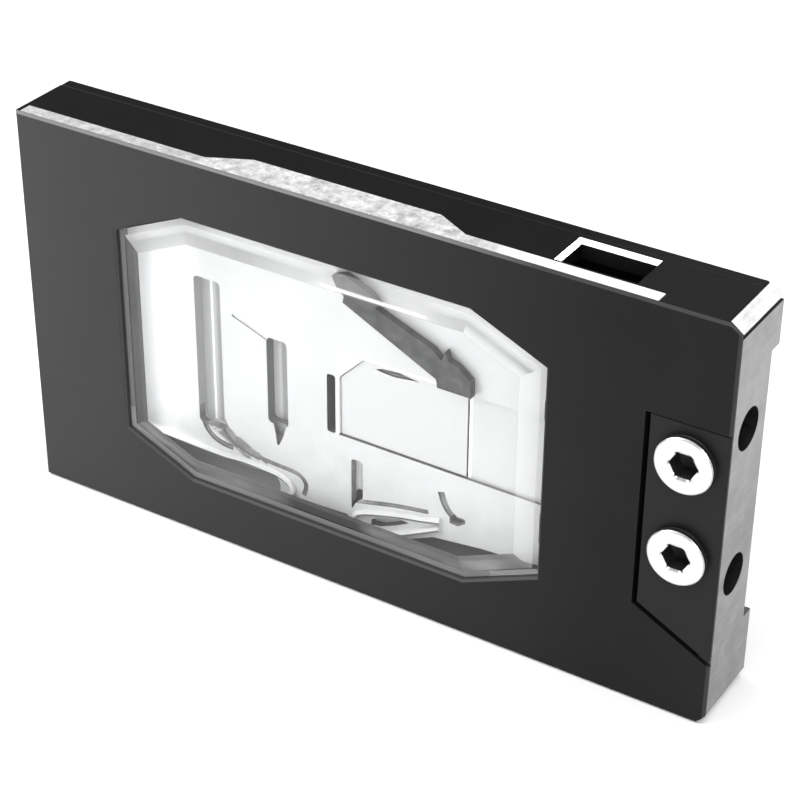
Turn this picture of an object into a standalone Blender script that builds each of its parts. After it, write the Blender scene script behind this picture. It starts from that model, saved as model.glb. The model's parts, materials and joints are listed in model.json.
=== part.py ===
# Graphics card water block: black metal front cover with an eight-sided
# window, clear flow cover, plated cold plate, side terminal with two plugged
# front ports and two open end ports, and a rear plate.
#
# Bench coordinates, used by every function below, are in millimetres:
#   x from the left end, y from the front face backwards, z from the base up.
# put() turns them into metres, with the origin at the middle of the base.

import math

import bmesh
import bpy
from mathutils import Matrix, Vector

# ---------------------------------------------------------------- dimensions
LENGTH = 251.5            # left end to right end
HEIGHT = 138.0            # base to top edge
DEPTH = 28.4              # front face to rear face
GAP = 0.3                 # between pieces that touch

PLUG_PROUD = 2.8          # plug heads in front of the front face
Y_MID = (DEPTH - PLUG_PROUD) / 2.0

FRONT_WALL = 5.0          # cover's front wall
TOP_WALL = 6.0
BOTTOM_WALL = 3.5
LEFT_WALL = 4.0
COVER_END = 247.2         # cover's right edge, where the end plate begins
COVER_TOP_BACK = 23.2     # rear edge of the cover's top wall
COVER_LOW_BACK = 19.5     # rear edge of its bottom and left walls
EDGE_CHAMFER = 0.8

WIN_X0, WIN_X1 = 37.7, 193.2      # window, measured on the front face
WIN_Z0, WIN_Z1 = 20.4, 117.4
WIN_CUT_X, WIN_CUT_Z = 26.0, 11.5
WIN_EDGE = 0.7            # small bevel on the window's front edge
WIN_GAP = 0.35            # between the window and the clear cover's raised part

END_THICK = 4.0           # end plate
END_CHAMFER = 4.0         # its upper corner, along x
END_DROP = 3.0            # and down
END_LOW = 3.2             # its lower corner
LIP = 1.3                 # front edge of the cover, which runs on to the end
EAR_LOW, EAR_HIGH = 26.0, 119.0   # end plate is full depth outside these

PORT_R = 6.58             # G1/4 size port
END_PORT_Y = 11.7
END_PORT_Z = (99.6, 49.3)
FRONT_PORT_X = 239.0
FRONT_PORT_Z = (90.3, 58.7)
DUCT_Y = 14.5
DUCT_Z = (84.0, 42.0)
PLUG_HEAD_R = 9.2
PLUG_HEX = 7.8            # across flats

TERM_X0 = 212.0           # terminal block body
TERM_Z0, TERM_Z1 = 24.0, 111.7
TERM_BACK = 20.2
TERM_FACE_X0 = 226.9      # part of it that shows in the front face
TERM_FACE_TOP = 102.5
FACE_GROOVE = 1.7

CLEAR_Y0, CLEAR_Y1 = 5.3, 10.0    # flange of the clear flow cover
CLEAR_FACE_Y = 0.3        # its raised front face, in the window
CLEAR_SLOPE_Y = 2.2       # where the slope round that face ends
CLEAR_SLOPE = 8.5         # width of the slope, seen from the front
CHAMBER_Y = 7.2           # front wall of the water space milled into it
PLATE_Y0, PLATE_Y1 = 10.3, 19.8   # cold plate
STACK_X0, STACK_X1 = 4.3, 211.7
STACK_Z0, STACK_Z1 = 3.8, 131.7
NOTCH_X, NOTCH_Z = 188.4, 111.7   # stack is cut away here for the power plug

SOCKET_X0, SOCKET_X1 = 192.0, 217.0   # power socket opening in the top wall
SOCKET_Y0, SOCKET_Y1 = 6.4, 20.6
SOCKET_RIM = 1.3

STRIP_X1 = 226.0          # light strip along the top front edge
STRIP_Y0, STRIP_Y1 = 1.2, 5.7
STRIP_THICK = 2.0
BADGE_X = (70.1, 162.4, 150.3, 83.9)
BADGE_Y = 12.3

REAR_Y0 = 24.9            # rear plate
REAR_X1 = 246.9
SEG = 32                  # facets round a port

# -------------------------------------------------------------- bare helpers
for old in list(bpy.data.objects):
    bpy.data.objects.remove(old, do_unlink=True)

scene = bpy.context.scene
parts = bpy.data.collections.new("graphics_card_water_block")
cutters = bpy.data.collections.new("cutters")
scene.collection.children.link(parts)
scene.collection.children.link(cutters)


def put(x, y, z):
    return Vector(((x - LENGTH / 2) * 0.001, (y - Y_MID) * 0.001, z * 0.001))


def mat(name, color, rough, metal, alpha=1.0):
    m = bpy.data.materials.get(name)
    if m is None:
        m = bpy.data.materials.new(name)
        m.use_nodes = True
        b = m.node_tree.nodes["Principled BSDF"]
        b.inputs["Base Color"].default_value = (*color, 1.0)
        b.inputs["Roughness"].default_value = rough
        b.inputs["Metallic"].default_value = metal
        b.inputs["Alpha"].default_value = alpha
    return m


ANODISED = ("black_anodised", (0.035, 0.035, 0.037), 0.42, 0.6)
END_METAL = ("end_metal", (0.62, 0.62, 0.63), 0.35, 0.9)
NICKEL = ("nickel", (0.86, 0.85, 0.83), 0.2, 1.0)
CLEAR = ("clear_plastic", (0.95, 0.97, 0.98), 0.05, 0.0, 0.25)
ACETAL = ("black_acetal", (0.03, 0.03, 0.032), 0.5, 0.0)
RUBBER = ("rubber", (0.02, 0.02, 0.02), 0.8, 0.0)
DIFFUSER = ("diffuser", (0.93, 0.93, 0.93), 0.5, 0.0)
BOARD = ("board", (0.9, 0.9, 0.88), 0.6, 0.0)
STEEL = ("steel", (0.6, 0.6, 0.6), 0.3, 1.0)
DARK_STEEL = ("dark_steel", (0.05, 0.05, 0.05), 0.4, 0.8)
PAD = ("thermal_pad", (0.52, 0.56, 0.62), 0.9, 0.0)


def link(obj, material=None):
    if material is None:
        cutters.objects.link(obj)
        obj.hide_render = True
        obj.display_type = "WIRE"
    else:
        parts.objects.link(obj)
        obj.data.materials.clear()
        obj.data.materials.append(mat(*material))
    return obj


def smooth(obj, degrees=35):
    obj.data.shade_smooth()
    obj.data.set_sharp_from_angle(angle=math.radians(degrees))


def new_object(name, bm, material=None):
    bmesh.ops.recalc_face_normals(bm, faces=bm.faces)
    mesh = bpy.data.meshes.new(name)
    bm.to_mesh(mesh)
    bm.free()
    return link(bpy.data.objects.new(name, mesh), material)


def box(name, x, y, z, material=None, chamfer=0.0, edges=None):
    """Box between pairs x, y, z. Its chamfer is on every edge, or on those
    for which edges(midpoint in -1..1 on each axis) is true."""
    bm = bmesh.new()
    bmesh.ops.create_cube(bm, size=2.0)
    if chamfer:
        if edges is None:
            chosen = list(bm.edges)
        else:
            chosen = [e for e in bm.edges
                      if edges((e.verts[0].co + e.verts[1].co) / 2)]
    a, b = put(x[0], y[0], z[0]), put(x[1], y[1], z[1])
    mid, half = (a + b) / 2, (b - a) / 2
    for v in bm.verts:
        v.co = Vector((mid[i] + v.co[i] * half[i] for i in range(3)))
    if chamfer:
        bmesh.ops.bevel(bm, geom=chosen, offset=chamfer * 0.001, segments=1,
                        affect="EDGES", profile=0.5)
    return new_object(name, bm, material)


def rod(name, axis, centre, radius, a, b, material=None, seg=SEG, turn=0.0,
        chamfer=0.0):
    """Cylinder along axis x, y or z. centre holds the other two coordinates
    in x, y, z order, and a..b is its span on the axis."""
    bm = bmesh.new()
    bmesh.ops.create_cone(bm, cap_ends=True, segments=seg,
                          radius1=radius * 0.001, radius2=radius * 0.001,
                          depth=(b - a) * 0.001)
    if chamfer:
        rim = [e for e in bm.edges
               if abs(e.verts[0].co.z - e.verts[1].co.z) < 1e-7]
        bmesh.ops.bevel(bm, geom=rim, offset=chamfer * 0.001, segments=1,
                        affect="EDGES", profile=0.5)
    spin = Matrix.Rotation(turn, 4, "Z")
    mid = (a + b) / 2
    if axis == "x":
        place = Matrix.Translation(put(mid, centre[0], centre[1])) \
            @ Matrix.Rotation(math.pi / 2, 4, "Y")
    elif axis == "y":
        place = Matrix.Translation(put(centre[0], mid, centre[1])) \
            @ Matrix.Rotation(math.pi / 2, 4, "X")
    else:
        place = Matrix.Translation(put(centre[0], centre[1], mid))
    bmesh.ops.transform(bm, matrix=place @ spin, verts=bm.verts)
    obj = new_object(name, bm, material)
    if material is not None:
        smooth(obj)
    return obj


def mesh_of_curve(name, curve_obj, material=None):
    """Mesh object with the curve's evaluated shape, caps welded."""
    bpy.context.view_layer.update()
    graph = bpy.context.evaluated_depsgraph_get()
    mesh = bpy.data.meshes.new_from_object(curve_obj.evaluated_get(graph))
    bm = bmesh.new()
    bm.from_mesh(mesh)
    bmesh.ops.transform(bm, matrix=curve_obj.matrix_world, verts=bm.verts)
    bmesh.ops.remove_doubles(bm, verts=bm.verts, dist=1e-6)
    bpy.data.objects.remove(curve_obj, do_unlink=True)
    bpy.data.meshes.remove(mesh)
    return new_object(name, bm, material)


def slab(name, outline, lo, hi, material=None, plane="xz"):
    """Flat outline of points, thick from lo to hi across its plane:
    plane xz goes through y, and plane xy goes through z."""
    curve = bpy.data.curves.new(name + "_outline", "CURVE")
    curve.dimensions = "2D"
    curve.fill_mode = "BOTH"
    curve.extrude = (hi - lo) * 0.0005
    line = curve.splines.new("POLY")
    line.points.add(len(outline) - 1)
    mid = (lo + hi) / 2
    for point, (u, v) in zip(line.points, outline):
        if plane == "xz":
            p = put(u, 0, v)
            point.co = (p.x, p.z, 0, 1)
        else:
            p = put(u, v, 0)
            point.co = (p.x, p.y, 0, 1)
    line.use_cyclic_u = True
    obj = bpy.data.objects.new(name + "_outline", curve)
    scene.collection.objects.link(obj)
    if plane == "xz":
        obj.rotation_euler = (math.pi / 2, 0, 0)
        obj.location = (0, put(0, mid, 0).y, 0)
    else:
        obj.location = (0, 0, mid * 0.001)
    return mesh_of_curve(name, obj, material)


def tube(name, points, radius, material=None, closed=False, sides=3):
    curve = bpy.data.curves.new(name + "_line", "CURVE")
    curve.dimensions = "3D"
    curve.bevel_depth = radius * 0.001
    curve.bevel_resolution = sides
    curve.use_fill_caps = not closed
    line = curve.splines.new("POLY")
    line.points.add(len(points) - 1)
    for point, p in zip(line.points, points):
        q = put(*p)
        point.co = (q.x, q.y, q.z, 1)
    line.use_cyclic_u = closed
    obj = bpy.data.objects.new(name + "_line", curve)
    scene.collection.objects.link(obj)
    out = mesh_of_curve(name, obj, material)
    if material is not None:
        smooth(out, 50)
    return out


def ring(name, axis, centre, big, small, material, seg=26):
    """O-ring: big is the radius of its centre line, small that of its cord.
    centre is x, y, z."""
    pts = []
    for i in range(seg):
        t = 2 * math.pi * i / seg
        u, v = big * math.cos(t), big * math.sin(t)
        if axis == "x":
            pts.append((centre[0], centre[1] + u, centre[2] + v))
        else:
            pts.append((centre[0] + u, centre[1], centre[2] + v))
    return tube(name, pts, small, material, closed=True, sides=1)


def cut(obj, *tools, op="DIFFERENCE"):
    for tool in tools:
        mod = obj.modifiers.new(tool.name, "BOOLEAN")
        mod.operation = op
        mod.solver = "EXACT"
        mod.object = tool
    return obj


def grown(outline, d):
    """Outline of points, counter-clockwise, moved outwards by d."""
    out = []
    n = len(outline)
    for i in range(n):
        p0, p1, p2 = (Vector(outline[i - 1]), Vector(outline[i]),
                      Vector(outline[(i + 1) % n]))
        d1, d2 = (p1 - p0).normalized(), (p2 - p1).normalized()
        n1, n2 = Vector((d1.y, -d1.x)), Vector((d2.y, -d2.x))
        k = d / (1 + n1.dot(n2))
        out.append(tuple(p1 + (n1 + n2) * k))
    return out


def rounded(outline, radius, steps=5):
    """Outline with each corner turned into an arc of about this radius."""
    out = []
    n = len(outline)
    for i in range(n):
        p0, p1, p2 = (Vector(outline[i - 1]), Vector(outline[i]),
                      Vector(outline[(i + 1) % n]))
        a, b = (p0 - p1).normalized(), (p2 - p1).normalized()
        half = a.angle(b) / 2
        back = radius / math.tan(half)
        mid = p1 + (a + b).normalized() * radius / math.sin(half)
        s, e = p1 + a * back - mid, p1 + b * back - mid
        sweep = s.angle_signed(e)
        for k in range(steps + 1):
            t = -sweep * k / steps
            c, w = math.cos(t), math.sin(t)
            out.append((mid.x + s.x * c - s.y * w, mid.y + s.x * w + s.y * c))
    return out


def slot_outline(x0, x1, z0, z1, radius, steps=4):
    return rounded([(x0, z0), (x1, z0), (x1, z1), (x0, z1)], radius, steps)


def spline(points, per=6):
    """Smooth line through the given points."""
    out = []
    n = len(points)
    for i in range(n - 1):
        p = [Vector(points[max(i - 1, 0)]), Vector(points[i]),
             Vector(points[i + 1]), Vector(points[min(i + 2, n - 1)])]
        for k in range(per):
            t = k / per
            out.append(0.5 * ((2 * p[1]) + (p[2] - p[0]) * t
                              + (2 * p[0] - 5 * p[1] + 4 * p[2] - p[3]) * t * t
                              + (3 * p[1] - p[0] - 3 * p[2] + p[3]) * t ** 3))
    out.append(Vector(points[-1]))
    return [tuple(v) for v in out]


def frustum(name, near, far, y0, y1):
    """Loft from one outline at y0 to another with as many points at y1."""
    bm = bmesh.new()
    a = [bm.verts.new(put(x, y0, z)) for x, z in near]
    b = [bm.verts.new(put(x, y1, z)) for x, z in far]
    bm.faces.new(a)
    bm.faces.new(b)
    for i in range(len(a)):
        j = (i + 1) % len(a)
        bm.faces.new((a[i], a[j], b[j], b[i]))
    return new_object(name, bm)


def octagon(x0, x1, z0, z1, cx, cz):
    return [(x0 + cx, z0), (x1 - cx, z0), (x1, z0 + cz), (x1, z1 - cz),
            (x1 - cx, z1), (x0 + cx, z1), (x0, z1 - cz), (x0, z0 + cz)]


# -------------------------------------------------------------- shared lines
window = octagon(WIN_X0, WIN_X1, WIN_Z0, WIN_Z1, WIN_CUT_X, WIN_CUT_Z)
window_plug = grown(window, -WIN_GAP)
window_face = grown(window, -CLEAR_SLOPE)

SLOPE = (0.258 - 0.164) / (1.816 - 1.636)      # terminal's sloping lower edge
def slope_z(x, z_at_left=35.6, x_left=225.6):
    return z_at_left - SLOPE * (x - x_left)

face_cut = [(TERM_FACE_X0 - FACE_GROOVE, slope_z(TERM_FACE_X0 - FACE_GROOVE)),
            (260.0, slope_z(260.0)),
            (260.0, TERM_FACE_TOP + GAP),
            (TERM_FACE_X0 - FACE_GROOVE, TERM_FACE_TOP + GAP)]
lift = FACE_GROOVE * math.sqrt(1 + SLOPE ** 2)
term_face = [(TERM_FACE_X0, slope_z(TERM_FACE_X0) + lift),
             (LENGTH, slope_z(LENGTH) + lift),
             (LENGTH, TERM_FACE_TOP),
             (TERM_FACE_X0, TERM_FACE_TOP)]

stack_outline = [(STACK_X0, STACK_Z0), (STACK_X1, STACK_Z0),
                 (STACK_X1, NOTCH_Z), (NOTCH_X, NOTCH_Z),
                 (NOTCH_X, STACK_Z1), (STACK_X0, STACK_Z1)]
chamber = [(52, 15), (196, 15), (203, 22), (203, 84), (174, 113),
           (167, 121), (52, 121), (34, 109), (34, 27)]
seal_line = rounded(grown(chamber, 4.2), 7.0, 3)

STACK_SCREWS = [(12.4, 10.1), (12.0, 126.0), (110.0, 8.0),
                (110.0, 128.0), (204.0, 9.5), (182.0, 126.0)]
REAR_SCREWS = [(62.0, 14.0), (62.0, 122.0), (196.0, 14.0), (180.0, 118.0)]
TERM_SCREWS = [(218.5, 58.0), (218.5, 105.8)]         # x, z; along y
END_SCREWS = [74.5, 31.5]                             # z; along x at y 14


def beyond(name, p, q, plane, lo, hi):
    """Cutter for the corner to the right of the line from p to q."""
    p, q = Vector(p), Vector(q)
    run = (q - p).normalized() * 2.0
    p, q = p - run, q + run
    return slab(name, [tuple(p), tuple(q), (max(p.x, q.x) + 1.0, q.y),
                       (max(p.x, q.x) + 1.0, p.y)], lo, hi, plane=plane)


def end_cutters(word):
    """Seat of the end plate behind the lip, and the lip's bevelled edge."""
    return [box(word + "_end_seat", (COVER_END, 300), (LIP, 60), (-9, 160)),
            beyond(word + "_end_edge", (LENGTH - 0.7, 0.0), (LENGTH, 0.7),
                   "xy", -9, 160)]


# ---------------------------------------------------------------- the cover
cover = box("front_cover", (0, LENGTH), (0, COVER_TOP_BACK), (0, HEIGHT),
            ANODISED, EDGE_CHAMFER,
            lambda m: m.y < -0.5 and (m.x < -0.5 or abs(m.z) > 0.5))
cut(cover,
    *end_cutters("cover"),
    beyond("cover_corner_top", (LENGTH - END_CHAMFER, HEIGHT),
           (LENGTH, HEIGHT - END_DROP), "xz", -5, 40),
    beyond("cover_corner_low", (LENGTH - END_LOW, 0.0), (LENGTH, END_LOW),
           "xz", -5, 40),
    box("cover_inside", (LEFT_WALL, 300), (FRONT_WALL, 40),
        (BOTTOM_WALL, HEIGHT - TOP_WALL)),
    box("cover_low_back", (-5, 300), (COVER_LOW_BACK, 40),
        (-5, HEIGHT - TOP_WALL)),
    slab("window_hole", window, -2.0, 8.0),
    frustum("window_edge", grown(window, WIN_EDGE + 0.5),
            grown(window, -0.3), -0.5, WIN_EDGE + 0.3),
    slab("terminal_hole", face_cut, -2.0, 8.0),
    box("socket_hole", (SOCKET_X0, SOCKET_X1), (SOCKET_Y0, SOCKET_Y1),
        (120, 150)))

rim = bmesh.new()
lo = [put(x, y, HEIGHT - SOCKET_RIM) for x, y in
      ((SOCKET_X0, SOCKET_Y0), (SOCKET_X1, SOCKET_Y0),
       (SOCKET_X1, SOCKET_Y1), (SOCKET_X0, SOCKET_Y1))]
r = SOCKET_RIM + 0.5
hi = [put(x, y, HEIGHT + 0.5) for x, y in
      ((SOCKET_X0 - r, SOCKET_Y0), (SOCKET_X1, SOCKET_Y0),
       (SOCKET_X1, SOCKET_Y1 + r), (SOCKET_X0 - r, SOCKET_Y1 + r))]
lo, hi = [rim.verts.new(v) for v in lo], [rim.verts.new(v) for v in hi]
rim.faces.new(lo)
rim.faces.new(hi)
for i in range(4):
    rim.faces.new((lo[i], lo[(i + 1) % 4], hi[(i + 1) % 4], hi[i]))
cut(cover, new_object("socket_rim", rim))

strip = [(1.5, STRIP_Y0), (STRIP_X1, STRIP_Y0), (STRIP_X1, STRIP_Y1),
         (BADGE_X[1], STRIP_Y1), (BADGE_X[2], BADGE_Y),
         (BADGE_X[3], BADGE_Y), (BADGE_X[0], STRIP_Y1), (1.5, STRIP_Y1)]
cut(cover,
    slab("strip_pocket", grown(strip, GAP), HEIGHT - STRIP_THICK - GAP,
         HEIGHT + 3, plane="xy"),
    box("board_pocket", (3.0, STRIP_X1 - 2), (STRIP_Y0 + 0.2, STRIP_Y1 - 0.2),
        (HEIGHT - 4.3, HEIGHT)))
for i, (x, z) in enumerate(STACK_SCREWS):
    cut(cover, rod("cover_thread_%d" % i, "y", (x, z), 1.7, 2.0, 9.0, seg=12))
for i, (x, z) in enumerate(TERM_SCREWS):
    cut(cover, rod("cover_term_thread_%d" % i, "y", (x, z), 1.7, 2.0, 9.0,
                   seg=12))

# ------------------------------------------------------------ light strip
slab("light_diffuser", strip, HEIGHT - STRIP_THICK, HEIGHT, DIFFUSER,
     plane="xy")
board = box("led_board", (4.0, 222.0), (STRIP_Y0 + 0.6, STRIP_Y1 - 0.6),
            (HEIGHT - 4.0, HEIGHT - 3.2), BOARD)
for i in range(11):
    x = 13.0 + i * 20.0
    cut(board, box("led_%d" % i, (x - 1.5, x + 1.5), (2.4, 4.5),
                   (HEIGHT - 3.4, HEIGHT - 2.6)), op="UNION")

# --------------------------------------------------------------- end plate
X1 = LENGTH
end_outline = [(X1 - END_THICK, 0), (X1 - END_LOW, 0), (X1, END_LOW),
               (X1, HEIGHT - END_DROP), (X1 - END_CHAMFER + 0.01, HEIGHT),
               (X1 - END_THICK, HEIGHT)]
end_plate = slab("end_plate", end_outline, LIP + GAP, DEPTH, END_METAL)
cut(end_plate,
    box("end_back_cut", (240, 260), (COVER_TOP_BACK + 0.3, 40),
        (EAR_LOW, EAR_HIGH)),
    box("end_seam", (X1 - 1.1, X1 + 2), (-2, 40),
        (HEIGHT - END_DROP - 1.7, HEIGHT - END_DROP - 0.2)),
    *[rod("end_hole_%d" % i, "x", (END_PORT_Y, z), PORT_R + 0.05,
          LENGTH - END_THICK - 2, X1 + 2) for i, z in enumerate(END_PORT_Z)],
    *[rod("end_thread_%d" % i, "x", (14.0, z), 1.7, 245.0, X1 - 1.2, seg=12)
      for i, z in enumerate(END_SCREWS)])

# ----------------------------------------------------------- terminal block
terminal = box("terminal_block", (TERM_X0, COVER_END),
               (FRONT_WALL + GAP, TERM_BACK), (TERM_Z0, TERM_Z1), ACETAL)
cut(terminal, slab("terminal_face", term_face, 0.0, FRONT_WALL + 1.5),
    op="UNION")
tools = end_cutters("terminal")
for i in range(2):
    tools += [
        rod("end_port_%d" % i, "x", (END_PORT_Y, END_PORT_Z[i]), PORT_R,
            234.0, 260.0),
        rod("front_port_%d" % i, "y", (FRONT_PORT_X, FRONT_PORT_Z[i]),
            PORT_R, -5.0, 14.0),
        rod("duct_%d" % i, "x", (DUCT_Y, DUCT_Z[i]), 4.0, 200.0, 239.0,
            seg=16),
        rod("riser_%d" % i, "z", (FRONT_PORT_X, 13.4), 4.2,
            min(DUCT_Z[i], FRONT_PORT_Z[i], END_PORT_Z[i]) - 1.0,
            max(DUCT_Z[i], FRONT_PORT_Z[i], END_PORT_Z[i]) + 0.6, seg=16),
        rod("seal_seat_%d" % i, "x", (DUCT_Y, DUCT_Z[i]), 6.3,
            205.0, TERM_X0 + 1.9, seg=24),
    ]
for i, (x, z) in enumerate(TERM_SCREWS):
    tools += [rod("term_hole_%d" % i, "y", (x, z), 1.7, 0.0, 30.0, seg=12),
              rod("term_head_%d" % i, "y", (x, z), 3.1, TERM_BACK - 2.2,
                  30.0, seg=14)]
for i, z in enumerate(END_SCREWS):
    tools += [rod("long_hole_%d" % i, "x", (14.0, z), 1.7, 200.0, 260.0,
                  seg=12),
              rod("long_head_%d" % i, "x", (14.0, z), 3.1, 200.0,
                  TERM_X0 + 2.4, seg=14)]
cut(terminal, *tools)

for i, word in enumerate(("upper", "lower")):
    ring("terminal_seal_" + word, "x", (TERM_X0 + 1.0, DUCT_Y, DUCT_Z[i]),
         5.2, 0.75, RUBBER)

    # Plug: flat head, threaded shank, six-sided key socket, ring groove.
    x, z = FRONT_PORT_X, FRONT_PORT_Z[i]
    plug = rod("port_plug_" + word, "y", (x, z), PLUG_HEAD_R, -PLUG_PROUD,
               -GAP, NICKEL, seg=36, chamfer=0.35)
    shank = rod("plug_shank_" + word, "y", (x, z), PORT_R - 0.3, -1.5, 6.6,
                seg=28)
    groove = rod("plug_groove_" + word, "y", (x, z), 8.3, -1.9, 0.5, seg=28)
    core = rod("plug_core_" + word, "y", (x, z), PORT_R - 0.3, -3.0, 2.0,
               seg=28)
    cut(groove, core)
    cut(plug, groove)
    cut(plug, shank, op="UNION")
    cut(plug, rod("plug_key_" + word, "y", (x, z),
                  PLUG_HEX / 2 / math.cos(math.pi / 6), -6.0, 3.2, seg=6))
    smooth(plug)
    ring("plug_seal_" + word, "y", (x, -0.95, z), 7.3, 0.68, RUBBER)

# -------------------------------------------------------- clear flow cover
clear = slab("clear_cover", stack_outline, CLEAR_Y0, CLEAR_Y1, CLEAR)
cut(clear,
    frustum("clear_slope", window_face, window_plug, CLEAR_FACE_Y,
            CLEAR_SLOPE_Y), op="UNION")
cut(clear, slab("clear_boss", window_plug, CLEAR_SLOPE_Y - 0.5,
                CLEAR_Y0 + 1.0), op="UNION")
cut(clear, slab("chamber_space", chamber, CHAMBER_Y, 12.0))
for i, (x, z) in enumerate(STACK_SCREWS):
    cut(clear, rod("clear_hole_%d" % i, "y", (x, z), 1.7, 2.0, 14.0, seg=12))

tube("main_seal", [(x, PLATE_Y0 + 1.1, z) for x, z in seal_line], 0.9, RUBBER,
     closed=True, sides=1)

# --------------------------------------------------------------- cold plate
plate = slab("cold_plate", stack_outline, PLATE_Y0, PLATE_Y1, NICKEL)
cut(plate, box("die_pad", (118, 158), (PLATE_Y1 - 1, 21.0), (46, 86)),
    op="UNION")
rib_left = spline([(38.7, 27.9), (52.9, 27.6), (63.5, 27.3), (71.0, 27.3),
                   (78.3, 27.9), (85.6, 27.7), (92.1, 27.2), (96.2, 25.2),
                   (97.2, 22.4), (95.6, 19.8)], 4)
rib_right = spline([(153.2, 29.0), (148.7, 26.6), (139.5, 21.9),
                    (133.8, 19.0), (127.4, 16.9), (122.8, 17.6),
                    (121.2, 20.0), (121.9, 22.6), (125.2, 24.6),
                    (130.1, 26.2), (138.5, 28.5), (146.0, 30.0),
                    (153.4, 31.8)], 4)
cut(plate,
    tube("rib_left", [(x, 9.8, z) for x, z in rib_left], 1.15, sides=2),
    tube("rib_right", [(x, 9.8, z) for x, z in rib_right], 1.15, sides=2),
    op="UNION")
POCKET = [(115.2, 50.5), (161.9, 50.5), (161.9, 81.2), (124.4, 81.2),
          (115.2, 72.0)]
groove = slab("seal_groove", rounded(grown(chamber, 5.5), 8.3, 3), 8.0,
              PLATE_Y0 + 2.3)
cut(groove, slab("seal_groove_core", rounded(grown(chamber, 2.9), 5.7, 3),
                 7.0, 14.0))


def runnel(name, points, radius, per=4):
    """Round-bottomed groove in the cold plate's front."""
    return tube(name, [(x, PLATE_Y0 + 0.2, z) for x, z in
                       spline(points, per)], radius, sides=1)


tools = [
    groove,
    slab("slot_a", slot_outline(60.0, 70.3, 36.6, 92.0, 1.6),
         5.0, PLATE_Y0 + 4.4),
    slab("slot_b", slot_outline(87.8, 95.7, 46.0, 78.0, 1.6),
         5.0, PLATE_Y0 + 4.0),
    slab("slot_b_tail", [(89.6, 47.0), (95.0, 47.0), (93.6, 42.2),
                         (91.8, 38.2), (91.0, 38.4), (90.6, 42.2)],
         5.0, PLATE_Y0 + 1.6),
    slab("jet_pocket", POCKET, 5.0, PLATE_Y0 + 3.5),
    slab("inlet_channel", [(161.0, 50.5), (197.0, 50.5), (197.0, 81.2),
                           (161.0, 81.2)], 5.0, PLATE_Y0 + 1.3),
    slab("slot_c", slot_outline(110.7, 113.9, 50.5, 72.0, 0.8, 2),
         5.0, PLATE_Y0 + 6.8),
    slab("slot_d", [(119.7, 24.2), (120.2, 24.2), (121.2, 26.4),
                    (124.1, 29.2), (124.1, 42.4), (123.3, 43.2),
                    (120.5, 43.2), (119.7, 42.4)], 5.0, PLATE_Y0 + 4.5),
    slab("slot_e", slot_outline(40.0, 92.0, 15.6, 25.8, 3.0),
         5.0, PLATE_Y0 + 5.0),
    slab("slot_f", [(104.0, 14.6), (118.4, 14.6), (118.4, 21.1),
                    (103.0, 20.4)], 5.0, PLATE_Y0 + 5.0),
    slab("slot_g", [(131.5, 14.6), (190.0, 14.6), (190.0, 28.3),
                    (167.1, 26.5), (150.5, 24.4), (141.0, 20.0),
                    (135.5, 17.3)], 5.0, PLATE_Y0 + 5.0),
    slab("slot_h", [(127.2, 20.3), (131.0, 20.9), (137.0, 23.7),
                    (141.5, 26.2), (138.0, 26.5), (131.0, 24.4),
                    (127.4, 22.6)], 5.0, PLATE_Y0 + 3.0),
    slab("slot_j", [(156.4, 32.0), (159.4, 31.8), (162.2, 33.8),
                    (161.8, 35.4), (158.6, 35.4), (156.4, 34.2)],
         5.0, PLATE_Y0 + 3.5),
    runnel("runnel_a", [(69.4, 40.4), (71.2, 36.6), (75.0, 33.3),
                        (79.6, 31.6), (84.0, 31.0)], 1.7),
    runnel("runnel_c", [(82.0, 31.1), (87.0, 30.5), (93.0, 30.2),
                        (99.4, 29.6), (102.2, 26.5), (101.2, 22.0)], 1.0, 3),
    runnel("runnel_b", [(61.9, 39.0), (62.6, 35.8), (65.4, 32.6),
                        (69.2, 31.2), (73.4, 30.8)], 1.35, 3),
    runnel("runnel_d", [(121.4, 27.4), (125.0, 28.3), (130.4, 29.7),
                        (136.4, 31.1), (142.4, 32.2), (148.6, 33.2)], 0.95, 3),
    runnel("runnel_h", [(153.1, 42.6), (154.2, 39.2), (156.0, 36.2),
                        (158.4, 34.4)], 1.45, 3),
    runnel("runnel_j", [(74.8, 81.8), (81.0, 79.6), (89.4, 76.4)], 0.6, 2),
    box("inlet_sump", (188, 200), (5.0, PLATE_Y0 + 7.5), (54.0, 88.0)),
    box("outlet_sump", (188, 200), (5.0, PLATE_Y0 + 7.5), (36.5, 47.5)),
]
for i in range(13):
    x = 119.4 + i * 3.1
    tools.append(box("fin_gap_%d" % i, (x, x + 1.3), (12.0, 17.0), (53, 74)))
for i in range(2):
    tools.append(rod("plate_duct_%d" % i, "x", (DUCT_Y, DUCT_Z[i]), 3.4,
                     199.0, 220.0, seg=16))
for i, (x, z) in enumerate(STACK_SCREWS):
    tools += [rod("plate_hole_%d" % i, "y", (x, z), 1.7, 2.0, 30.0, seg=12),
              rod("plate_head_%d" % i, "y", (x, z), 3.1, PLATE_Y1 - 2.2,
                  30.0, seg=14)]
cut(plate, *tools)

jet = slab("jet_plate", grown(POCKET, -0.4), PLATE_Y0 + 1.3,
           PLATE_Y0 + 2.3, STEEL)
cut(jet, slab("jet_slit", [(128.2, 78.6), (135.0, 78.1), (144.2, 79.3),
                           (136.8, 80.2), (130.5, 79.6)], 10.0, 15.0))

slab("flow_guide", [(152.2, 84.9), (118.7, 101.2), (119.2, 103.5),
                    (116.4, 106.2), (114.8, 109.3), (119.3, 111.0),
                    (128.6, 107.1), (131.7, 104.2), (130.4, 102.6),
                    (150.8, 94.8), (153.9, 91.9), (155.2, 95.5),
                    (156.6, 92.5), (159.5, 91.6), (164.2, 87.9),
                    (164.5, 82.1), (152.6, 82.1)],
     7.5, CLEAR_Y1, ACETAL)

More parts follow.
